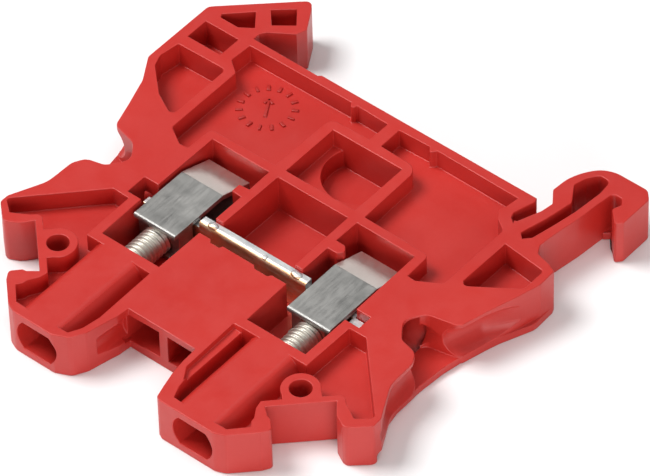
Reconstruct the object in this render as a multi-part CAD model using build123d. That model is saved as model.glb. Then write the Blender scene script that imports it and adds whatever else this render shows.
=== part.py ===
from build123d import *
import math
import os

# ---------------------------------------------------------------------------
# Feed-through screw terminal block for 35 mm DIN rail, one pole, open-sided
# housing.  The block lies on its closed flat side: X is the wire direction,
# +Y points to the rail, Z is the stacking (thickness) direction.
# All outlines below are written about the rail seat (x = 0 on the symmetry
# axis, y = 0 on the rail face) and shifted once, at the end, so that the
# origin is the middle of the envelope on the closed side face.
# ---------------------------------------------------------------------------

# ---- driving dimensions (mm) ----------------------------------------------
T = 5.1                   # thickness of the block, stacking pitch
PLATE = 0.9               # closed side wall
FLOOR_MAIN = 3.05         # floor level of the large shallow pockets
FLOOR_WING = 3.05         # floor level of the wing pockets
FLOOR_TOWER = 2.55        # floor level beside the screw tunnels
FLOOR_CELL = 2.1          # floor level of the small cells in the rail hook
RAIL_SPAN = 35.4          # clear width between the two rail grooves
RAIL_GROOVE_L = -17.75    # bottom of the fixed groove
TOWER_FACE = -40.7        # outer face with the screwdriver entries
CLAMP_X = 9.3             # clamp axis, either side of the middle
TUNNEL_R = 2.3            # screwdriver tunnel radius
TUNNEL_Z = 2.55           # height of every screw axis
TUNNEL_H = 3.4            # tunnel height between its flats
HUMP_R = 3.15             # outside of the tunnel wall
PIN_X, PIN_Y = 14.45, -31.7
PIN_R = 1.05              # marker / test pin socket radius
PIN_BOSS_R = 1.85
POCKET_IN, POCKET_OUT = 5.2, 12.15      # clamp pocket, from the middle
POCKET_TOP, POCKET_BOT = -12.7, -28.3
WALL_BOT = -29.3          # tower side of the wall under the clamp pocket
WIRE_R = 1.6              # wire entry bore radius
WIRE_Y = -18.95
BAR_Y0, BAR_Y1 = -21.45, -20.45         # current bar, 1 mm thick
BAR_STEP = 6.35           # half length of the full-height middle
BAR_END = 12.1            # half length over the clamp seats
BAR_Z0, BAR_Z1 = 1.65, 3.98
LUG_X = 11.88             # inner face of the offset end lugs
LUG_Y0, LUG_Y1 = -22.15, -21.2
SCREW_R = 1.45            # M3 screw, plain envelope
SCREW_BORE_R = 1.5        # threaded bore in the yoke
HEAD_R = 1.65
HEAD_L = 2.1
YOKE_W = 5.0
YOKE_Z0, YOKE_Z1 = 0.95, 4.75
YOKE_WALL = 0.55
YOKE_FRONT = -24.3        # tower end of the yoke side plates, fully open
YOKE_END = -13.7          # rail end of the yoke, fully open
RIGHT_SHIFT = 0.3         # the right clamp stands this much tighter
HINGE = (18.2, -6.0)      # flexing root of the rail latch
HINGE_R = 2.75            # radius of the parting arc at the root
HINGE_GAP = 0.05
COVE_R = 1.85             # hollow of the wire approach, above the side wall
COVE_Z = 2.8

# envelope in outline coordinates, used for the final shift
ENV_X0, ENV_X1 = -23.95, 24.3
ENV_Y0, ENV_Y1 = TOWER_FACE, 7.1
SHIFT = ((ENV_X0 + ENV_X1) / 2, (ENV_Y0 + ENV_Y1) / 2)


# ---- small helpers ---------------------------------------------------------
def rounded_wire(pts):
    """Closed wire through (x, y) or (x, y, r) corners, r rounds the corner."""
    n = len(pts)
    P = [Vector(p[0], p[1], 0) for p in pts]
    rad = [p[2] if len(p) > 2 else 0.0 for p in pts]
    ins, outs = [], []
    for i in range(n):
        a, b, c = P[i - 1], P[i], P[(i + 1) % n]
        r = rad[i]
        if r <= 0:
            ins.append(b)
            outs.append(b)
            continue
        u = (a - b).normalized()
        v = (c - b).normalized()
        cosang = max(-1.0, min(1.0, u.dot(v)))
        half = math.acos(cosang) / 2
        d = r / math.tan(half)
        d = min(d, 0.49 * (a - b).length, 0.49 * (c - b).length)
        ins.append(b + u * d)
        outs.append(b + v * d)
    edges = []
    for i in range(n):
        if (ins[i] - outs[i]).length > 1e-6:
            b = P[i]
            u = (ins[i] - b).normalized()
            v = (outs[i] - b).normalized()
            w = (u + v).normalized()
            d = (ins[i] - b).length
            half = math.acos(max(-1.0, min(1.0, u.dot(v)))) / 2
            r = d * math.tan(half)
            mid = b + w * (r / math.sin(half) - r)
            edges.append(Edge.make_three_point_arc(ins[i], mid, outs[i]))
        j = (i + 1) % n
        if (outs[i] - ins[j]).length > 1e-6:
            edges.append(Edge.make_line(outs[i], ins[j]))
    return Wire(edges)


def prism(pts, z0, z1):
    face = Face(rounded_wire(pts))
    if face.normal_at().Z < 0:
        face = -face
    return Solid.extrude(face, Vector(0, 0, z1 - z0)).moved(Location((0, 0, z0)))


def mirror_pts(pts):
    return [(-p[0],) + tuple(p[1:]) for p in reversed(pts)]


def disc(x, y, r, z0, z1):
    return Solid.make_cylinder(r, z1 - z0, Plane(origin=(x, y, z0), z_dir=(0, 0, 1)))


def rod_y(x, z, r, y0, y1):
    return Solid.make_cylinder(r, y1 - y0, Plane(origin=(x, y0, z), z_dir=(0, 1, 0)))


def rod_x(y, z, r, x0, x1):
    return Solid.make_cylinder(r, x1 - x0, Plane(origin=(x0, y, z), z_dir=(1, 0, 0)))


def box(x0, x1, y0, y1, z0, z1):
    return Solid.make_box(x1 - x0, y1 - y0, z1 - z0, Plane(origin=(x0, y0, z0)))


def single(shape):
    s = shape.solids()
    s = sorted(s, key=lambda q: q.volume)
    return s[-1]


# ---- outlines --------------------------------------------------------------
# half outline of the body, right side, from the middle of the tower channel
# round to the shoulder under the latch
channel_half = 4.05
right_tower = [
    (channel_half, -33.85, 0.25), (4.05, -35.6, 2.0), (4.3, -37.5, 2.0), (4.72, -39.2, 1.5), (5.05, -40.45, 0.12),
    (5.6, TOWER_FACE, 0.12), (11.9, TOWER_FACE, 1.2), (12.9, -40.25, 1.0), (15.1, -38.05, 0.8),
    (15.65, -37.15, 0.4), (14.75, -36.2, 0.15), (14.35, -36.15, 0.12),   # inner lip of the groove
    (13.3, -35.4, 0.12), (17.95, -30.8, 0.12),                           # back wall of the groove
    (18.65, -31.75, 0.12), (19.0, -32.2, 0.4), (20.45, -33.0, 0.7), (22.45, -31.25, 0.7),
    (22.4, -30.1, 0.8), (20.45, -26.4, 3.5), (20.35, -23.2, 1.2), (19.7, -21.95, 1.2),
    (17.7, -21.5, 1.1), (16.25, -19.55, 1.1), (17.5, -17.72, 1.2), (20.75, -17.05, 0.9),
    (21.5, -14.2, 1.5), (22.6, -10.7, 2.0),
]
# half outline of the left side, written with x positive and mirrored below
left_tower = [
    (channel_half, -33.85, 0.25), (4.1, -35.2, 1.5), (4.5, -36.7, 1.5), (4.95, -38.6, 1.2), (5.75, -40.0, 0.9),
    (7.3, TOWER_FACE, 0.8), (11.9, TOWER_FACE, 1.2), (12.9, -40.25, 1.0), (15.1, -38.05, 0.8),
    (15.65, -37.15, 0.4), (14.75, -36.2, 0.15), (14.35, -36.15, 0.12),
    (13.3, -35.4, 0.12), (17.95, -30.8, 0.12),
    (18.65, -31.75, 0.12), (19.0, -32.1, 0.4), (20.25, -32.75, 0.6), (22.1, -31.05, 0.6),
    (22.1, -30.05, 0.8), (20.4, -26.4, 3.5), (20.3, -23.2, 1.2), (19.6, -21.95, 1.2),
    (17.7, -21.5, 1.1), (16.25, -19.55, 1.1), (17.5, -17.72, 1.2), (20.35, -17.0, 0.9),
    (21.2, -14.2, 1.5), (22.3, -10.9, 2.0),
]
rail_seat_x = 16.2
hook = [
    (-23.95, 0.45, 0.7), (-16.75, 7.15, 0.55), (-15.95, 6.15, 0.5), (-14.55, 3.85, 0.3),
    (-14.95, 2.75, 0.2), (-17.35, 1.2, 0.25), (RAIL_GROOVE_L, 0.6, 0.3), (RAIL_GROOVE_L, -0.25, 0.1),
    (-9.85, -0.25), (-9.55, 0.0),
]

body_outline = (
    hook
    + [(rail_seat_x, 0.0, 0.15), (16.3, -0.6), (15.6, -2.85, 0.25), (15.95, -3.65, 0.35),
       (16.55, -3.45, 0.2)]
)

# rail latch, closed outline with both strips running down into the root
latch_outer = [
    (16.55, -3.45, 0.0), (17.45, -1.1, 0.6), (17.68, 0.3, 0.35), (16.6, 1.75, 0.35),
    (16.75, 3.7, 4.0), (17.35, 5.1, 4.0), (18.3, 6.45, 4.0), (19.7, 7.1, 3.0),
    (23.45, 7.1, 0.7), (24.3, 6.2, 0.6), (24.3, 2.4, 0.4), (23.75, 1.75, 0.25),
    (22.35, 3.15, 0.3), (22.75, 4.1, 0.4), (22.25, 4.75, 0.45), (21.25, 4.75, 0.45),
    (21.0, 2.9, 2.0), (20.75, 0.3, 3.0), (20.35, -2.2, 3.0), (20.1, -4.6, 0.6), (20.6, -5.5, 0.0),
]
latch_window = [
    (18.3, -5.15, 0.3), (17.68, -4.4, 0.3), (18.45, -1.6, 2.0), (19.0, 1.5, 0.5), (17.75, 3.45, 0.5),
    (18.1, 4.75, 0.8), (18.85, 5.85, 0.6), (20.1, 5.8, 0.6), (20.25, 4.0, 1.5), (19.95, 0.8, 3.0),
    (19.5, -1.6, 3.0), (18.95, -4.2, 0.4),
]

# ---- housing ---------------------------------------------------------------
# the whole body and foot outline as one closed loop (latch included), later
# parted from the latch along the arc at its root
loop = []
loop += body_outline
loop += latch_outer[1:-1]
loop += [latch_outer[-1]]
loop += [(22.2, -5.9), (23.2, -6.3, 0.3), (23.2, -8.4, 1.2)]
loop += list(reversed(right_tower))
loop += mirror_pts(list(reversed(left_tower)))
loop += [(-23.95, -8.2, 0.9)]

body = prism(loop, 0, T)

# closed side wall fills the wire entry notches
plate_side = [
    (21.42, -28.95, 3.0), (20.45, -26.9, 3.0), (20.1, -24.9, 4.0), (20.08, -22.0, 6.0), (20.3, -19.0, 6.0),
    (20.8, -16.3, 6.0), (21.6, -13.6, 6.0), (22.6, -11.25, 5.0), (23.38, -9.4, 1.5), (23.35, -6.7, 0.2), (22.4, -6.6),
    (15.0, -8.8), (15.0, -26.0), (18.5, -29.6),
]
plate_side_l = [
    (21.42, -28.95, 3.0), (20.45, -26.9, 3.0), (20.1, -24.9, 4.0), (20.05, -22.0, 6.0), (20.2, -19.0, 6.0),
    (20.6, -16.3, 6.0), (21.4, -13.6, 6.0), (22.3, -11.25, 4.0), (23.0, -9.4, 1.0), (22.6, -9.2), (15.0, -9.4),
    (15.0, -26.0), (18.5, -29.6),
]
plates = prism(plate_side, 0, PLATE) + prism(mirror_pts(plate_side_l), 0, PLATE)
# thin web that closes the foot of the gap between latch arm and release tab
plates += prism([(20.8, 5.0), (22.6, 5.0), (22.5, 3.2), (21.7, 3.9), (21.1, 3.4)], 0, PLATE)
body = body + plates

cuts = []
# coved wire approach: a rounded hollow under the top rim, from the wing leg
# past the wire entry to the shoulder, above the closed side wall
cove_path = [(25.2, -30.2), (22.9, -28.2), (21.2, -26.0), (20.8, -22.6), (20.9, -17.2), (21.9, -14.3), (24.9, -10.3)]
for s in (1, -1):
    for (xa, ya), (xb, yb) in zip(cove_path, cove_path[1:]):
        d = Vector(s * (xb - xa), yb - ya, 0)
        cuts.append(Solid.make_cylinder(COVE_R, d.length, Plane(origin=(s * xa, ya, COVE_Z), z_dir=(d.X, d.Y, 0))))
    for xa, ya in cove_path[1:-1]:
        cuts.append(Solid.make_sphere(COVE_R, Plane(origin=(s * xa, ya, COVE_Z)), -90, 90, 360))
    # the leg stands back to the edge of the closed side wall at its foot
    trim = [(22.9, -30.75), (22.25, -30.75), (21.42, -28.95), (20.45, -26.9), (20.14, -25.2), (20.12, -23.4), (20.13, -21.2), (22.9, -21.2)]
    cuts.append(prism(trim if s > 0 else mirror_pts(trim), -1, PLATE))
    # hollow side of the tower, under its rim
    da = Vector(s * 0.2, -3.7, 0)
    cuts.append(Solid.make_cylinder(1.6, da.length, Plane(origin=(s * 3.3, -33.9, 2.6), z_dir=(da.X, da.Y, 0))))
# small cells of the fixed hook
cuts.append(prism([(-22.35, 0.5, 0.2), (-19.95, 2.85, 0.2), (-18.45, 0.95, 0.25), (-19.9, 0.05, 0.3),
                   (-22.05, 0.05, 0.2)], FLOOR_CELL, T + 1))
cuts.append(prism([(-19.15, 3.8, 0.3), (-17.1, 5.55, 0.3), (-15.6, 3.65, 0.3), (-17.6, 2.1, 0.3)],
                  FLOOR_CELL, T + 1))
cuts.append(prism([(-22.9, -1.1, 0.25), (-18.7, -1.1, 0.25), (-18.7, -3.9, 0.25), (-22.9, -3.9, 0.25)],
                  FLOOR_CELL, T + 1))
cuts.append(prism([(-22.9, -5.05, 0.25), (-17.1, -5.05, 0.5), (-17.1, -12.8, 0.5), (-19.9, -11.3, 1.0),
                   (-22.65, -8.7, 0.8), (-23.15, -7.4, 0.8)], FLOOR_CELL + 0.4, T + 1))
cuts.append(prism([(17.4, -6.25, 0.3), (22.35, -6.95, 0.35), (22.35, -9.75, 0.7), (17.95, -12.8, 0.5),
                   (17.4, -12.4, 0.3)], FLOOR_CELL + 0.4, T + 1))
# latch window, right through
cuts.append(prism(latch_window, -1, T + 1))

# large shallow pockets
main_l = [
    (-17.5, -1.05, 0.3), (-0.55, -1.05, 0.3), (-0.55, -3.85, 0.3), (-5.25, -3.85, 0.9), (-5.25, -11.85, 0.3),
    (-13.05, -11.85, 0.6), (-13.05, -15.1, 0.2), (-14.1, -15.1, 0.4), (-16.05, -13.9, 0.5),
    (-16.05, -4.75, 0.4), (-17.5, -3.7, 0.4),
]
main_r = [
    (0.6, -1.0, 0.3), (14.95, -1.0, 0.3), (14.6, -2.6, 0.3), (14.3, -3.4, 0.4), (15.0, -4.35, 0.4),
    (16.3, -5.2, 0.6), (16.3, -13.75, 0.4), (14.0, -15.1, 0.3), (13.05, -15.1, 0.2), (13.05, -11.85, 0.6),
    (5.25, -11.85, 0.3), (5.25, -3.85, 1.3), (0.6, -3.85, 0.3),
]
cuts.append(prism(main_l, FLOOR_MAIN, T + 1))
cuts.append(prism(main_r, FLOOR_MAIN, T + 1))

# pocket with the stepped round recess
p_r = prism([(-4.2, -4.8, 0.25), (4.2, -4.8, 0.25), (4.2, -11.75, 0.25), (-4.2, -11.75, 0.25)], 0.95, T + 1)
cuts.append(p_r & box(-6, 6, -14, -2, FLOOR_MAIN, T + 2))
cuts.append(single(p_r & disc(0.4, -6.4, 3.7, 0.5, T)))

# deep square pocket, clamp pockets and the bar channel
cuts.append(prism([(-4.25, -12.7, 0.2), (4.25, -12.7, 0.2), (4.25, -21.6), (-4.25, -21.6)], PLATE, T + 1))
for s, slot_y1 in ((-1, -20.4), (1, -21.15)):
    x0, x1 = sorted((s * POCKET_IN, s * POCKET_OUT))
    cuts.append(prism([(x0, POCKET_TOP, 0.15), (x1, POCKET_TOP, 0.15), (x1, POCKET_BOT, 0.15), (x0, POCKET_BOT, 0.15)],
                      PLATE, T + 1))
    # end slot that locates the lug of the current bar
    e0, e1 = sorted((s * 12.0, s * 13.8))
    cuts.append(box(e0, e1, -22.75, slot_y1, 1.6, T + 1))
    # passage of the bar through the inner rib and the side of the pocket
cuts.append(box(-5.4, 5.4, -22.65, -20.4, PLATE, T + 1))

# two shafts for plug-in bridges, from the tower channel to the bar
cuts.append(box(-4.35, -0.5, -34.5, -22.5, PLATE, 4.2))
cuts.append(box(0.5, 4.0, -34.5, -22.5, PLATE, 4.2))
# shallow relief at the rear edge of the middle plate
cuts.append(prism([(-4.0, -22.4), (-2.3, -22.4), (-2.55, -23.0), (-3.6, -23.0)], 4.0, T + 1))
cuts.append(prism([(1.1, -22.4), (3.6, -22.4), (3.2, -23.0), (1.7, -23.0)], 4.0, T + 1))

# wing pocket together with the recess outside the screw tunnel
wing = [
    (13.1, -23.3, 0.2), (15.1, -23.3, 0.3), (21.75, -30.2, 0.4), (21.7, -30.6, 0.2), (20.5, -31.6, 0.2),
    (18.75, -30.55, 0.15), (18.4, -30.1, 0.3), (17.8, -30.05, 0.2), (12.6, -35.1, 0.25), (12.85, -36.0, 0.3),
    (13.5, -37.0, 0.2), (13.55, -37.5, 0.2), (14.1, -38.0, 0.2), (12.5, -39.6, 0.3), (9.3, -39.6), (9.3, -29.3),
    (13.1, -29.3),
]
boss_web = [(13.2, -32.95), (15.75, -30.45), (16.6, -31.25), (14.05, -33.8)]
def inner_recess(edge):
    return [(9.3, -29.35), (edge, -29.35, 0.2), (edge, -36.4, 1.0), (edge + 0.35, -38.3, 1.0), (6.3, -39.6, 0.2),
            (9.3, -39.6)]


keep_r = disc(PIN_X, PIN_Y, PIN_BOSS_R, 0, T) + prism(boss_web, 0, T)
hump = rod_y(CLAMP_X, TUNNEL_Z, HUMP_R, -40.0, -29.0) & box(4, 14, -41, -28, 0, T)
wing_r = prism(wing, FLOOR_WING, T + 1)
wing_r = wing_r - keep_r - hump
recess_r = prism(inner_recess(5.5), FLOOR_TOWER, T + 1) - hump
recess_l = (prism(inner_recess(5.3), FLOOR_TOWER, T + 1) - hump).mirror(Plane.YZ)
cuts += [wing_r, wing_r.mirror(Plane.YZ), recess_r, recess_l]
# lowered rim beside the right tunnel
cuts.append(prism([(4.6, -29.35, 0.1), (5.6, -29.35), (5.6, -37.4), (4.75, -36.0, 0.3)], T - 0.6, T + 1))

for s in (-1, 1):
    # pin socket, screwdriver tunnel, screw passage, wire entry
    cuts.append(disc(s * PIN_X, PIN_Y, PIN_R, -1, T + 1))
    tunnel = rod_y(s * CLAMP_X, TUNNEL_Z, TUNNEL_R, TOWER_FACE - 1, WALL_BOT)
    tunnel = tunnel & box(s * CLAMP_X - 4, s * CLAMP_X + 4, TOWER_FACE - 2, WALL_BOT + 1,
                          TUNNEL_Z - TUNNEL_H / 2, TUNNEL_Z + TUNNEL_H / 2)
    cuts.append(tunnel)
    cuts.append(rod_y(s * CLAMP_X, TUNNEL_Z, 1.6, WALL_BOT - 1, POCKET_BOT + 1))
    w0, w1 = sorted((s * 11.9, s * 21.0))
    cuts.append(rod_x(WIRE_Y, TUNNEL_Z, WIRE_R, w0, w1))
    cone = Solid.make_cone(WIRE_R, WIRE_R + 0.8, 2.2,
                           Plane(origin=(s * 14.9, WIRE_Y, TUNNEL_Z), z_dir=(s, 0, 0)))
    cuts.append(cone)

for c in cuts:
    body = body - c

# ribs left standing in the pockets
ribs = []
ribs.append(prism([(-5.15, -0.9), (-4.35, -0.9), (-4.45, -1.35), (-4.75, -1.6, 0.1), (-5.0, -1.3)], FLOOR_MAIN - 0.1, T))
ribs.append(prism([(4.2, -0.9), (5.2, -0.9), (5.0, -1.25), (4.7, -1.6, 0.1), (4.45, -1.3)], FLOOR_MAIN - 0.1, T))
ribs.append(prism([(-5.0, -15.6), (-5.0, -16.85), (-6.4, -16.8, 0.15), (-6.4, -15.65, 0.15)], PLATE - 0.1, T))
ribs.append(prism([(5.0, -15.6), (6.3, -15.65, 0.4), (6.8, -16.27, 0.35), (6.3, -16.9, 0.4), (5.0, -16.85)], PLATE - 0.1, T))
for r in ribs:
    body = body + r

# part the latch from the housing along the arc at its root; the parting runs
# on through the bottom of the entry slot beside the latch
def parting(root, foot):
    return prism([foot, (16.6, -2.5), (16.95, -1.2), (17.2, -0.2), (16.9, 0.35), (16.0, 0.6), (15.6, 9.0), (26.0, 9.0),
                  (26.0, -3.9), (21.2, -3.9), root], -1, T + 1)


ring_out = disc(HINGE[0], HINGE[1], HINGE_R + HINGE_GAP, -1, T + 1)
ring_in = disc(HINGE[0], HINGE[1], HINGE_R, -1, T + 1)
latch = single(body & (parting(HINGE, (16.2, -3.58)) - ring_out))
housing = single(body - (parting((HINGE[0] - 0.039, HINGE[1] - 0.032), (16.161, -3.612)) - ring_in))

# ---- current bar -----------------------------------------------------------
bar = box(-BAR_STEP, BAR_STEP, BAR_Y0, BAR_Y1, PLATE + 0.05, 4.75)
bar += box(-BAR_END, BAR_END, BAR_Y0, BAR_Y1, BAR_Z0, BAR_Z1)
# offset lugs that drop into the end slots
bar += box(LUG_X, 13.2, LUG_Y0, LUG_Y1, BAR_Z0, BAR_Z1)
bar += box(LUG_X, BAR_END, LUG_Y0, BAR_Y1, BAR_Z0, BAR_Z1)
bar += box(-12.6, -LUG_X, LUG_Y0, LUG_Y1, BAR_Z0, BAR_Z1)
bar += box(-BAR_END, -LUG_X, LUG_Y0, BAR_Y1, BAR_Z0, BAR_Z1)
bar = single(bar)

# ---- clamp yoke ------------------------------------------------------------
def yoke(xc, dy):
    zc = (YOKE_Z0 + YOKE_Z1) / 2
    outer = [(YOKE_FRONT, YOKE_Z0), (YOKE_FRONT, YOKE_Z1), (-17.5, YOKE_Z1), (YOKE_END, zc + 0.55),
             (YOKE_END, zc - 0.55), (-17.5, YOKE_Z0)]
    inner = [(-21.8, YOKE_Z0 + YOKE_WALL), (-21.8, YOKE_Z1 - YOKE_WALL), (-17.65, YOKE_Z1 - YOKE_WALL),
             (YOKE_END - 0.95, zc + 0.3), (YOKE_END - 0.95, zc - 0.3), (-17.65, YOKE_Z0 + YOKE_WALL)]
    front = [(YOKE_FRONT - 1, YOKE_Z0 + YOKE_WALL), (YOKE_FRONT - 1, YOKE_Z1 - YOKE_WALL),
             (-23.7, YOKE_Z1 - YOKE_WALL), (-23.7, YOKE_Z0 + YOKE_WALL)]

    def ext(poly):
        w = Wire.make_polygon([Vector(xc - YOKE_W / 2, y, z) for y, z in poly])
        f = Face(w)
        if f.normal_at().X < 0:
            f = -f
        return Solid.extrude(f, Vector(YOKE_W, 0, 0))

    s = ext(outer) - ext(inner) - ext(front)
    s = s - rod_y(xc, TUNNEL_Z, SCREW_BORE_R, -26.0, -18.6)
    return single(s).moved(Location((0, dy, 0)))


yoke_left = yoke(-CLAMP_X, 0.0)
yoke_right = yoke(CLAMP_X, -RIGHT_SHIFT)


# ---- clamp screw -----------------------------------------------------------
def screw(xc):
    tip = BAR_Y0 - 0.02
    s = rod_y(xc, TUNNEL_Z, SCREW_R, -29.6, tip - 0.35)
    s += rod_y(xc, TUNNEL_Z, 1.05, tip - 0.4, tip)
    s += rod_y(xc, TUNNEL_Z, HEAD_R, -29.5 - HEAD_L, -29.5)
    slot = box(xc - 2.5, xc + 2.5, -29.5 - HEAD_L - 0.1, -29.5 - HEAD_L + 0.9, TUNNEL_Z - 0.28, TUNNEL_Z + 0.28)
    return single(s - slot)


screw_left = screw(-CLAMP_X)
screw_right = screw(CLAMP_X)

# ---- write the pieces ------------------------------------------------------
nodes = {
    "housing": housing,
    "rail_latch": latch,
    "current_bar": bar,
    "clamp_yoke_left": yoke_left,
    "clamp_yoke_right": yoke_right,
    "clamp_screw_left": screw_left,
    "clamp_screw_right": screw_right,
}
move = Location((-SHIFT[0], -SHIFT[1], 0))
os.makedirs("parts", exist_ok=True)
for name, solid in nodes.items():
    s = solid.moved(move)
    s.label = name
    export_step(s, "parts/" + name + ".step")
    b = s.bounding_box()
    print(name, round(s.volume, 2), [round(v, 3) for v in (b.min.X, b.min.Y, b.min.Z, b.max.X, b.max.Y, b.max.Z)])
print("shift", SHIFT)
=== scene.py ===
import math
import random

import bmesh
import bpy
from mathutils import Matrix, Vector
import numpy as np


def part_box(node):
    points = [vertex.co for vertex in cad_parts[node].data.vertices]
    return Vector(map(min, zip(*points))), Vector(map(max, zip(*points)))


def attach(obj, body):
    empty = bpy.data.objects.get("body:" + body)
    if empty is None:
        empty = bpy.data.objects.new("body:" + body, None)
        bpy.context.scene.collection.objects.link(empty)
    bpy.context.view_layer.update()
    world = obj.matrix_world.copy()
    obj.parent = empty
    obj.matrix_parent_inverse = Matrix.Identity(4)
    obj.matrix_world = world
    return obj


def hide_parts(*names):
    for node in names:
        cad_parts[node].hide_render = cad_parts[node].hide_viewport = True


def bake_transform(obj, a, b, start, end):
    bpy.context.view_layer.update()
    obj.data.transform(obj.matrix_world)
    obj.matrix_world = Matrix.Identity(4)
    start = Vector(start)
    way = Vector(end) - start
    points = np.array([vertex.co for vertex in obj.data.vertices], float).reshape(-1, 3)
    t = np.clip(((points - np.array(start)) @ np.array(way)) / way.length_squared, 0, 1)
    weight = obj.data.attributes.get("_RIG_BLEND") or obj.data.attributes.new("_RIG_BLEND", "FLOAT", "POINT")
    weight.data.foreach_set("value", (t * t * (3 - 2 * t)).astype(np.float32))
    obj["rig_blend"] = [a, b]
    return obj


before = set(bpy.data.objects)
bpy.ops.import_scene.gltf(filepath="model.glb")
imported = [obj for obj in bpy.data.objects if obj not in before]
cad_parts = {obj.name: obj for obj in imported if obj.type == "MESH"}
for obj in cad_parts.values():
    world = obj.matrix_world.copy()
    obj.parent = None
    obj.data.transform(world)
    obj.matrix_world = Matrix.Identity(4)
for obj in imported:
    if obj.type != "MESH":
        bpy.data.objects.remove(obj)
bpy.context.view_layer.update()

MM = 0.001
SX, SY = 0.175, -16.8          # outline frame -> part frame, mm
HINGE = (18.2 - SX, -6.0 - SY)  # flexing root of the rail latch, part frame, mm
HINGE_R = 2.75
scene = bpy.context.scene
rng = random.Random(7)


def P(x, y, z=0.0):
    """A point given about the rail seat, in mm, as a point of the part frame in metres."""
    return Vector(((x - SX) * MM, (y - SY) * MM, z * MM))


# ---------------------------------------------------------------------------
# materials
# ---------------------------------------------------------------------------
class Mat:
    """Small helper that builds a node tree round one Principled shader."""

    def __init__(self, name):
        self.m = bpy.data.materials.new(name)
        self.m.use_nodes = True
        self.t = self.m.node_tree
        self.t.nodes.clear()
        self.out = self.t.nodes.new("ShaderNodeOutputMaterial")
        self.b = self.t.nodes.new("ShaderNodeBsdfPrincipled")
        self.t.links.new(self.b.outputs[0], self.out.inputs[0])
        self.tc = self.t.nodes.new("ShaderNodeTexCoord")

    def set(self, **kw):
        for k, v in kw.items():
            self.b.inputs[k.replace("_", " ")].default_value = v
        return self

    def node(self, kind, **kw):
        n = self.t.nodes.new("ShaderNode" + kind)
        for k, v in kw.items():
            if k.startswith("p_"):
                setattr(n, k[2:], v)
            else:
                n.inputs[k.replace("_", " ")].default_value = v
        return n

    def link(self, a, b):
        self.t.links.new(a, b)

    def coords(self, scale=(1, 1, 1), rot=(0, 0, 0)):
        mp = self.t.nodes.new("ShaderNodeMapping")
        mp.inputs["Scale"].default_value = scale
        mp.inputs["Rotation"].default_value = rot
        self.link(self.tc.outputs["Object"], mp.inputs["Vector"])
        return mp.outputs["Vector"]

    def noise(self, scale, detail=3.0, rough=0.5, vec=None, distortion=0.0):
        n = self.node("TexNoise", Scale=scale, Detail=detail, Roughness=rough, Distortion=distortion)
        self.link(vec or self.coords(), n.inputs["Vector"])
        return n.outputs["Fac"]

    def ramp(self, fac, stops):
        r = self.t.nodes.new("ShaderNodeValToRGB")
        while len(r.color_ramp.elements) < len(stops):
            r.color_ramp.elements.new(0.5)
        for e, (p, c) in zip(r.color_ramp.elements, stops):
            e.position = p
            e.color = c if len(c) == 4 else (*c, 1)
        self.link(fac, r.inputs["Fac"])
        return r.outputs["Color"]

    def maprange(self, fac, a, b, c, d):
        n = self.node("MapRange")
        n.inputs["From Min"].default_value = a
        n.inputs["From Max"].default_value = b
        n.inputs["To Min"].default_value = c
        n.inputs["To Max"].default_value = d
        self.link(fac, n.inputs["Value"])
        return n.outputs["Result"]

    def mix(self, fac, a, b, mode="MIX"):
        n = self.t.nodes.new("ShaderNodeMix")
        n.data_type = "RGBA"
        n.blend_type = mode
        for sock, v in ((n.inputs["Factor"], fac), (n.inputs["A"] if False else n.inputs[6], a), (n.inputs[7], b)):
            if hasattr(v, "is_output"):
                self.link(v, sock)
            elif isinstance(v, (int, float)):
                sock.default_value = v
            else:
                sock.default_value = v if len(v) == 4 else (*v, 1)
        return n.outputs[2]

    def math(self, op, a, b=0.0):
        n = self.node("Math", p_operation=op)
        for i, v in enumerate((a, b)):
            if hasattr(v, "is_output"):
                self.link(v, n.inputs[i])
            else:
                n.inputs[i].default_value = v
        return n.outputs[0]

    def bump(self, height, strength, distance, prev=None):
        n = self.node("Bump", Strength=strength, Distance=distance)
        self.link(height, n.inputs["Height"])
        if prev is not None:
            self.link(prev, n.inputs["Normal"])
        return n.outputs["Normal"]


def make_plastic(name="red_polyamide", painted_shade_dim=1.0):
    k = Mat(name)
    k.set(Specular_IOR_Level=0.5, IOR=1.53)
    broad = k.noise(90.0, 2.0, 0.5)
    fine = k.noise(2600.0, 3.0, 0.6)
    # A factor below 1 darkens the whole colour ramp as painted shade (used for the date mark).
    col = k.ramp(broad, [(0.30, (0.500 * painted_shade_dim, 0.0200 * painted_shade_dim, 0.0150 * painted_shade_dim)), (0.70, (0.545 * painted_shade_dim, 0.0255 * painted_shade_dim, 0.0185 * painted_shade_dim))])
    speck = k.maprange(fine, 0.35, 0.75, 0.0, 0.10)
    col = k.mix(speck, col, (0.64, 0.060, 0.046))
    k.link(col, k.b.inputs["Base Color"])
    rough = k.maprange(k.noise(420.0, 4.0, 0.6), 0.3, 0.7, 0.33, 0.46)
    k.link(rough, k.b.inputs["Roughness"])
    # spark-eroded mould texture and slight sink over the ribs
    n1 = k.bump(fine, 0.10, 0.00003)
    n2 = k.bump(k.noise(220.0, 2.0, 0.5), 0.12, 0.00012, n1)
    k.link(n2, k.b.inputs["Normal"])
    return k.m


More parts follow.
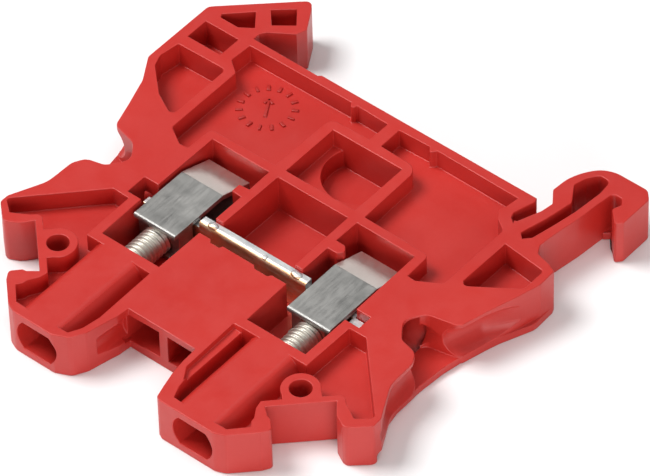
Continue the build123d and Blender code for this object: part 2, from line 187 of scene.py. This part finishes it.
def make_yoke():
    k = Mat("zinc_plated_steel")
    k.set(Metallic=1.0)
    brush = k.noise(1.0, 4.0, 0.65, vec=k.coords(scale=(5200.0, 420.0, 5200.0)))
    cloud = k.noise(520.0, 4.0, 0.6)
    scr = k.noise(1.0, 2.0, 0.5, vec=k.coords(scale=(9000.0, 260.0, 9000.0), rot=(0, 0, 0.18)))
    base = k.ramp(cloud, [(0.30, (0.36, 0.355, 0.34)), (0.70, (0.47, 0.46, 0.44))])
    fine_scr = k.maprange(scr, 0.60, 0.75, 0.0, 0.35)
    base = k.mix(fine_scr, base, (0.60, 0.59, 0.57))
    # Faces whose normal leans towards +Y (the bent slope) are mixed towards a lighter grey: painted highlight of the
    # slope.
    geo = k.node("NewGeometry")
    sep = k.node("SeparateXYZ")
    k.link(geo.outputs["True Normal"], sep.inputs[0])
    slope_painted_highlight = k.maprange(sep.outputs["Y"], 0.15, 0.28, 0.0, 1.0)
    base = k.mix(slope_painted_highlight, base, (0.70, 0.665, 0.62))
    k.link(base, k.b.inputs["Base Color"])
    r = k.math("ADD", k.maprange(brush, 0.3, 0.7, 0.36, 0.50), k.maprange(cloud, 0.35, 0.65, 0.0, 0.06))
    k.link(r, k.b.inputs["Roughness"])
    n1 = k.bump(brush, 0.16, 0.000012)
    n2 = k.bump(cloud, 0.20, 0.00003, n1)
    k.link(n2, k.b.inputs["Normal"])
    return k.m


def make_screw():
    k = Mat("passivated_screw_steel")
    k.set(Metallic=1.0)
    cloud = k.noise(900.0, 4.0, 0.6)
    base = k.ramp(cloud, [(0.30, (0.62, 0.59, 0.52)), (0.70, (0.76, 0.73, 0.66))])
    k.link(base, k.b.inputs["Base Color"])
    k.link(k.maprange(k.noise(2500.0, 3.0, 0.6), 0.3, 0.7, 0.42, 0.56), k.b.inputs["Roughness"])
    k.link(k.bump(cloud, 0.15, 0.00002), k.b.inputs["Normal"])
    return k.m


def make_bar():
    k = Mat("tinned_copper_strip")
    k.set(Metallic=1.0)
    cloud = k.noise(700.0, 4.0, 0.65)
    streak = k.noise(1.0, 4.0, 0.7, vec=k.coords(scale=(500.0, 3800.0, 3800.0)))
    tin = k.ramp(cloud, [(0.30, (0.70, 0.71, 0.73)), (0.70, (0.92, 0.92, 0.90))])
    copper = k.ramp(cloud, [(0.30, (0.86, 0.44, 0.22)), (0.70, (0.98, 0.70, 0.42))])
    # the sheared edge that faces the screws is bare copper, smeared with tin
    geo = k.node("NewGeometry")
    sep = k.node("SeparateXYZ")
    k.link(geo.outputs["True Normal"], sep.inputs[0])
    edge = k.maprange(sep.outputs["Y"], -0.12, -0.45, 0.0, 1.0)
    smear = k.maprange(streak, 0.50, 0.68, 1.0, 0.55)
    fac = k.math("MULTIPLY", edge, smear)
    k.link(k.mix(fac, tin, copper), k.b.inputs["Base Color"])
    k.link(k.maprange(streak, 0.3, 0.7, 0.34, 0.56), k.b.inputs["Roughness"])
    n1 = k.bump(streak, 0.22, 0.00003)
    n2 = k.bump(cloud, 0.25, 0.00004, n1)
    k.link(n2, k.b.inputs["Normal"])
    return k.m


def make_floor():
    k = Mat("studio_floor")
    k.set(Base_Color=(0.93, 0.93, 0.93, 1), Roughness=0.65, Specular_IOR_Level=0.2)
    return k.m


# The mark material is the same plastic with its colour dimmed to 0.80: painted shade for the raised relief of the date
# mark.
PLASTIC, MARK_PAINTED_SHADE = make_plastic(), make_plastic("red_polyamide_mark_painted_shade", 0.80)
YOKE, SCREW, BAR, FLOOR = make_yoke(), make_screw(), make_bar(), make_floor()


# ---------------------------------------------------------------------------
# mesh helpers
# ---------------------------------------------------------------------------
def link(o):
    scene.collection.objects.link(o)
    return o


def apply_modifiers(o):
    dg = bpy.context.evaluated_depsgraph_get()
    me = bpy.data.meshes.new_from_object(o.evaluated_get(dg), preserve_all_data_layers=True, depsgraph=dg)
    o.modifiers.clear()
    old = o.data
    o.data = me
    me.name = o.name
    if old.users == 0:
        bpy.data.meshes.remove(old)
    return o


def shade(o, angle=40.0, weighted=False):
    """Smooth shading with sharp edges kept above the angle."""
    me = o.data
    for p in me.polygons:
        p.use_smooth = True
    bm = bmesh.new()
    bm.from_mesh(me)
    lim = math.radians(angle)
    for e in bm.edges:
        e.smooth = not (e.is_manifold and e.calc_face_angle(0.0) > lim)
    bm.to_mesh(me)
    bm.free()
    if weighted:
        m = o.modifiers.new("weighted", "WEIGHTED_NORMAL")
        m.mode = "FACE_AREA"
        m.weight = 95
        m.keep_sharp = True
        apply_modifiers(o)


def zip_ledge(bm, f):
    """Fills a long curved ledge with a strip of triangles from one side to the other."""
    vs = list(f.verts)
    n = len(vs)
    i, j = max(((a, b) for a in range(n) for b in range(a + 1, n)), key=lambda q: (vs[q[0]].co - vs[q[1]].co).length)
    one = vs[i:j + 1]
    two = [vs[(i - k) % n] for k in range((i - j) % n + 1)]
    axis = vs[j].co - vs[i].co
    bm.faces.remove(f)
    a = b = 0
    while a < len(one) - 1 or b < len(two) - 1:
        if b >= len(two) - 1 or (a < len(one) - 1 and (one[a + 1].co - vs[i].co).dot(axis) <= (two[b + 1].co - vs[i].co).dot(axis)):
            tri = (one[a], one[a + 1], two[b])
            a += 1
        else:
            tri = (one[a], two[b + 1], two[b])
            b += 1
        if len(set(tri)) == 3 and bm.faces.get(tri) is None:
            bm.faces.new(tri)


def cad_copy(node, name, collapse=0.0, snap=None):
    """A clean mesh of a CAD node: welded, flat faces dissolved, short edges collapsed."""
    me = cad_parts[node].data.copy()
    me.name = name
    bm = bmesh.new()
    bm.from_mesh(me)
    bmesh.ops.remove_doubles(bm, verts=bm.verts, dist=2e-7)
    if collapse:
        collapse_short(bm, collapse * MM)
    bmesh.ops.dissolve_limit(bm, angle_limit=math.radians(0.6), verts=bm.verts, edges=bm.edges)
    if snap:
        snap(bm)
    bmesh.ops.recalc_face_normals(bm, faces=bm.faces)
    bm.to_mesh(me)
    bm.free()
    me.materials.clear()
    o = link(bpy.data.objects.new(name, me))
    for a in [a.name for a in me.attributes if a.name.startswith("custom_normal")]:
        me.attributes.remove(me.attributes[a])
    return o


def collapse_short(bm, dist):
    """Joins the points of a vertical edge pair that stand closer together than dist in plan."""
    bmesh.ops.dissolve_degenerate(bm, dist=dist, edges=bm.edges)


def on_root(v):
    x, y = v.x / MM - HINGE[0], v.y / MM - HINGE[1]
    return abs(math.hypot(x, y) - HINGE_R) < 0.075


def thin_ledge(f):
    """A level ledge too narrow to carry a rounded edge."""
    return abs(f.normal.z) > 0.99 and 2.0 * f.calc_area() < 0.10 * MM * f.calc_perimeter()


def bevel(o, width, segments=2, angle=35.0, skip=None, profile=0.5, wide=None, wide_width=0.0):
    bm = bmesh.new()
    bm.from_mesh(o.data)
    layer = bm.edges.layers.float.get("bevel_weight_edge") or bm.edges.layers.float.new("bevel_weight_edge")
    lim = math.radians(angle)
    for e in bm.edges:
        w = 0.0
        if e.is_manifold and e.calc_face_angle(0.0) > lim:
            w = 1.0
            if (skip and skip(e)) or any(thin_ledge(f) for f in e.link_faces):
                w = 0.0
        if wide_width:
            w *= width / wide_width
            if wide(e):
                w = 1.0
        e[layer] = w
    bm.to_mesh(o.data)
    bm.free()
    m = o.modifiers.new("bevel", "BEVEL")
    m.width = max(width, wide_width) * MM
    m.segments = segments
    m.profile = profile
    m.limit_method = "WEIGHT"
    m.use_clamp_overlap = False
    m.miter_outer = "MITER_SHARP"
    m.loop_slide = True
    apply_modifiers(o)
    for a in [a.name for a in o.data.attributes if a.name == "bevel_weight_edge"]:
        o.data.attributes.remove(o.data.attributes[a])
    bm = bmesh.new()
    bm.from_mesh(o.data)
    for f in [f for f in bm.faces if len(f.verts) > 8 and f.calc_area() < 0.02 * MM * f.calc_perimeter()]:
        zip_ledge(bm, f)
    bmesh.ops.recalc_face_normals(bm, faces=bm.faces)
    bm.to_mesh(o.data)
    bm.free()


def piece(o, body, mat, node=None):
    o.data.materials.clear()
    o.data.materials.append(mat)
    for p in o.data.polygons:
        p.material_index = 0
    if node:
        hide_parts(node)
    if body:
        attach(o, body)
    return o


# ---------------------------------------------------------------------------
# housing and its flexing foot
# ---------------------------------------------------------------------------
def root_edge(e):
    return all(on_root(v.co) for v in e.verts)


def hump_shoulder(e):
    """Long edge where the flat top meets the rounded outside of a screw tunnel."""
    a, b = e.verts[0].co, e.verts[1].co
    if min(a.z, b.z) < 5.09 * MM or abs(a.y - b.y) < 2.0 * MM or not e.is_manifold:
        return False
    x = abs((a.x + b.x) / 2 / MM + SX)
    return 7.2 < x < 11.4 and abs(a.x - b.x) < 0.3 * MM and math.radians(22) < e.calc_face_angle(0.0) < math.radians(60)


housing = cad_copy("housing", "housing_moulding", collapse=0.045)
bevel(housing, 0.085, 3, 38.0, skip=root_edge, wide=hump_shoulder, wide_width=0.34)
shade(housing, 32.0, True)
piece(housing, "block", PLASTIC, "housing")


def close_root(bm):
    """The foot reaches the housing again across the parting gap at its root."""
    for v in bm.verts:
        x, y = v.co.x / MM - HINGE[0], v.co.y / MM - HINGE[1]
        r = math.hypot(x, y)
        if abs(r - HINGE_R - 0.05) < 0.012:
            v.co.x = (HINGE[0] + x / r * HINGE_R) * MM
            v.co.y = (HINGE[1] + y / r * HINGE_R) * MM


foot = cad_copy("rail_latch", "rail_foot_moulding", collapse=0.03, snap=close_root)
bevel(foot, 0.10, 3, 38.0, skip=root_edge)
bm = bmesh.new()
bm.from_mesh(foot.data)
for k in range(9):
    yo = -3.9 + 0.38 * k
    bmesh.ops.bisect_plane(bm, geom=bm.verts[:] + bm.edges[:] + bm.faces[:], dist=1e-7,
                           plane_co=P(0, yo, 0), plane_no=(0, 1, 0))
bm.to_mesh(foot.data)
bm.free()
shade(foot, 32.0, True)
piece(foot, None, PLASTIC, "rail_latch")
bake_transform(foot, "block", "latch", start=P(17.6, -4.2, 2.5), end=P(19.0, -0.6, 2.5))


# ---------------------------------------------------------------------------
# current bar with its upset nubs
# ---------------------------------------------------------------------------
def bar_front_edge(e):
    a, b = e.verts[0].co, e.verts[1].co
    return min(a.z, b.z) > 4.7 * MM and max(a.y, b.y) < P(0, -21.4).y and abs(a.x - b.x) > 1.0 * MM


bar = cad_copy("current_bar", "current_bar_strip")
bevel(bar, 0.10, 5, 35.0, wide=bar_front_edge, wide_width=0.46)
shade(bar, 50.0, True)
piece(bar, "block", BAR, "current_bar")


def nub(name, xo, yo, z, lx, ly, h, seed):
    """Low upset dimple left where the bar is staked: an uneven flattened dome."""
    r = random.Random(seed)
    bm = bmesh.new()
    bmesh.ops.create_icosphere(bm, subdivisions=4, radius=1.0)
    for v in bm.verts:
        c = v.co
        k = 1.0 + 0.10 * math.sin(3.1 * c.x + seed) * math.cos(2.7 * c.y) + r.uniform(-0.02, 0.02)
        v.co = Vector(P(xo + c.x * lx * k, yo + c.y * ly * k, z + (c.z if c.z < 0 else c.z ** 0.8) * h * k))
    me = bpy.data.meshes.new(name)
    bm.to_mesh(me)
    bm.free()
    o = link(bpy.data.objects.new(name, me))
    shade(o, 60.0)
    piece(o, "block", BAR)


nub("bar_stake_left", -4.95, -21.0, 4.70, 0.60, 0.42, 0.26, 1)
nub("bar_stake_middle", 1.3, -21.1, 4.70, 0.30, 0.30, 0.13, 2)
nub("bar_stake_right", 4.95, -20.98, 4.70, 0.65, 0.42, 0.26, 3)


# ---------------------------------------------------------------------------
# clamp yokes
# ---------------------------------------------------------------------------
for side in ("left", "right"):
    y = cad_copy("clamp_yoke_" + side, "clamp_yoke_" + side + "_sheet")
    y_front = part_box("clamp_yoke_" + side)[0].y

    def sheared_end(e):
        a, b = e.verts[0].co, e.verts[1].co
        return min(a.z, b.z) > 4.7 * MM and max(a.y, b.y) < y_front + 0.1 * MM and abs(a.x - b.x) > 2.0 * MM

    bevel(y, 0.09, 4, 12.0, wide=sheared_end, wide_width=0.30)
    shade(y, 14.0, True)
    piece(y, "yoke_" + side, YOKE, "clamp_yoke_" + side)


# ---------------------------------------------------------------------------
# clamp screws: M3 x 0.5 thread, slotted cheese head
# ---------------------------------------------------------------------------
def screw(side, xo):
    lo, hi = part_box("clamp_screw_" + side)
    cx = (lo.x + hi.x) / 2 / MM
    cz = (lo.z + hi.z) / 2 / MM
    y0, y1 = lo.y / MM, hi.y / MM          # head end, tip
    head_l, r_head = 2.1, 1.64
    pitch, r_maj, r_min = 0.5, 1.445, 1.24
    n = 48
    rings = []
    # head: flat end, edge rounding, cylinder, under-head rounding
    for yy, rr in ((0.0, 0.0), (0.0, 0.55), (0.0, 1.05), (0.0, 1.42), (0.03, 1.53), (0.10, 1.61), (0.20, r_head),
                   (0.8, r_head), (1.4, r_head), (1.95, r_head), (2.04, 1.61), (2.1, 1.53), (2.1, 1.30), (2.14, 1.20),
                   (2.3, 1.17), (2.5, 1.17)):
        rings.append((y0 + yy, rr, 0.0))
    ys = y0 + 2.55
    ye = y1 - 0.42
    steps = int((ye - ys) / pitch * 12)
    for i in range(steps + 1):
        yy = ys + (ye - ys) * i / steps
        fade = min(1.0, (yy - ys) / 0.35, (ye - yy) / 0.3)
        rings.append((yy, None, max(0.0, fade)))
    for yy, rr in ((y1 - 0.40, 1.08), (y1 - 0.34, 1.01), (y1 - 0.08, 1.00), (y1 - 0.02, 0.95), (y1, 0.86), (y1, 0.45), (y1, 0.0)):
        rings.append((yy, rr, 0.0))
    bm = bmesh.new()
    loops = []
    for yy, rr, fade in rings:
        if rr == 0.0:
            loops.append([bm.verts.new((cx * MM, yy * MM, cz * MM))])
            continue
        loop = []
        for j in range(n):
            a = 2 * math.pi * j / n
            if rr is None:
                ph = (yy / pitch + a / (2 * math.pi)) % 1.0
                # flat crest, 60 degree flanks, rounded root
                t = abs(ph - 0.5) * 2
                prof = max(0.0, min(1.0, (t - 0.16) / 0.66))
                prof = prof * prof * (3 - 2 * prof) * 0.35 + prof * 0.65
                r = r_min + (r_maj - r_min) * prof * fade
            else:
                r = rr
            loop.append(bm.verts.new(((cx + r * math.cos(a)) * MM, yy * MM, (cz + r * math.sin(a)) * MM)))
        loops.append(loop)
    for a, b in zip(loops, loops[1:]):
        if len(a) == 1:
            for j in range(n):
                bm.faces.new((a[0], b[j], b[(j + 1) % n]))
        elif len(b) == 1:
            for j in range(n):
                bm.faces.new((a[j], b[0], a[(j + 1) % n]))
        else:
            for j in range(n):
                bm.faces.new((a[j], b[j], b[(j + 1) % n], a[(j + 1) % n]))
    bmesh.ops.recalc_face_normals(bm, faces=bm.faces)
    me = bpy.data.meshes.new("clamp_screw_" + side + "_m3")
    bm.to_mesh(me)
    bm.free()
    o = link(bpy.data.objects.new("clamp_screw_" + side + "_m3", me))
    # driver slot
    sb = bmesh.new()
    bmesh.ops.create_cube(sb, size=1.0)
    for v in sb.verts:
        v.co = Vector(((cx + v.co.x * 5.0) * MM, (y0 + 0.45 + v.co.y * 0.92) * MM, (cz + v.co.z * 0.56) * MM))
    sm = bpy.data.meshes.new("slot_cutter")
    sb.to_mesh(sm)
    sb.free()
    cutter = link(bpy.data.objects.new("slot_cutter", sm))
    m = o.modifiers.new("slot", "BOOLEAN")
    m.object = cutter
    m.operation = "DIFFERENCE"
    m.solver = "EXACT"
    apply_modifiers(o)
    bpy.data.objects.remove(cutter)
    bpy.data.meshes.remove(sm)
    shade(o, 50.0)
    piece(o, "screw_" + side, SCREW, "clamp_screw_" + side)
    return o


screw("left", -9.3)
screw("right", 9.3)


# ---------------------------------------------------------------------------
# mould date mark on the floor of the left pocket: raised ticks round an arrow
# ---------------------------------------------------------------------------
def date_mark():
    bm = bmesh.new()
    cx, cy, z0 = -12.1, -5.0, 3.05
    h = 0.17

    def block(cx, cy, ang, ln, wd, taper=1.0):
        c, s = math.cos(ang), math.sin(ang)
        low, top = [], []
        for u, v in ((-ln / 2, -wd / 2), (ln / 2, -wd / 2 * taper), (ln / 2, wd / 2 * taper), (-ln / 2, wd / 2)):
            low.append(bm.verts.new(P(cx + u * c - v * s, cy + u * s + v * c, z0 - 0.05)))
            k = 0.72
            top.append(bm.verts.new(P(cx + (u * 0.86) * c - (v * k) * s, cy + (u * 0.86) * s + (v * k) * c, z0 + h)))
        bm.faces.new(low[::-1])
        bm.faces.new(top)
        for i in range(4):
            j = (i + 1) % 4
            bm.faces.new((low[i], low[j], top[j], top[i]))

    n = 15
    for i in range(n):
        a = 2 * math.pi * i / n + 0.12
        block(cx + 2.66 * math.cos(a), cy + 2.66 * math.sin(a), a, 0.74, 0.46 if i % 3 else 0.34, 0.8)
    a0 = math.radians(119)
    block(cx, cy, a0, 2.6, 0.42, 0.7)
    for sgn in (-1, 1):
        block(cx + 0.86 * math.cos(a0) + sgn * 0.20 * math.sin(a0), cy + 0.86 * math.sin(a0) - sgn * 0.20 * math.cos(a0),
              a0 - sgn * math.radians(140) + math.pi, 0.80, 0.34, 0.8)
    bmesh.ops.recalc_face_normals(bm, faces=bm.faces)
    me = bpy.data.meshes.new("mould_date_mark")
    bm.to_mesh(me)
    bm.free()
    o = link(bpy.data.objects.new("mould_date_mark", me))
    bevel(o, 0.03, 2, 25.0)
    shade(o, 60.0)
    # The ticks and arrow get the dimmed plastic: painted shade of the relief.
    piece(o, "block", MARK_PAINTED_SHADE)


date_mark()

# ---------------------------------------------------------------------------
# floor, lights, camera
# ---------------------------------------------------------------------------
bm = bmesh.new()
bmesh.ops.create_grid(bm, x_segments=2, y_segments=2, size=1.6)
me = bpy.data.meshes.new("floor")
bm.to_mesh(me)
bm.free()
floor = link(bpy.data.objects.new("floor", me))
floor.location = (0, 0, -0.00002)
floor.data.materials.append(FLOOR)

world = bpy.data.worlds.new("studio")
scene.world = world
world.use_nodes = True
bg = world.node_tree.nodes["Background"]
bg.inputs[0].default_value = (1.0, 1.0, 1.0, 1)
bg.inputs[1].default_value = 0.22


def area(name, loc, target, size, power, color=(1, 1, 1)):
    d = bpy.data.lights.new(name, "AREA")
    d.shape = "RECTANGLE"
    d.size, d.size_y = size
    d.energy = power
    d.color = color
    o = link(bpy.data.objects.new(name, d))
    o.location = loc
    o.rotation_mode = "QUATERNION"
    o.rotation_quaternion = (Vector(target) - Vector(loc)).to_track_quat("-Z", "Y")
    return o


area("key", (-0.22, -0.10, 0.42), (0, 0, 0), (0.22, 0.22), 2.0)
area("fill", (0.36, -0.30, 0.14), (0, 0, 0), (0.34, 0.20), 1.15)
area("top", (0.05, 0.06, 0.50), (0, 0, 0), (0.34, 0.26), 0.5)
area("back", (-0.20, 0.38, 0.13), (0, 0, 0), (0.30, 0.08), 0.16)

cam_d = bpy.data.cameras.new("camera")
cam = link(bpy.data.objects.new("camera", cam_d))
cam_d.sensor_fit = "HORIZONTAL"
cam_d.sensor_width = 36.0
cam_d.lens = 348.97
cam_d.clip_start = 0.01
cam_d.clip_end = 20.0
ax = Vector((0.76774956, 0.64035974, -0.02236085))
ay = -Vector((0.44828409, -0.56174379, -0.69533107))
az = -Vector((-0.4578231, 0.52381611, -0.71834163))
rot = Matrix((ax, ay, az)).transposed()
cam.matrix_world = Matrix.Translation(Vector((266.87, -299.97, 417.47)) * MM) @ rot.to_4x4()
scene.camera = cam

scene.view_settings.view_transform = "Standard"
scene.view_settings.look = "None"
scene.view_settings.exposure = 0.0
scene.view_settings.gamma = 1.0
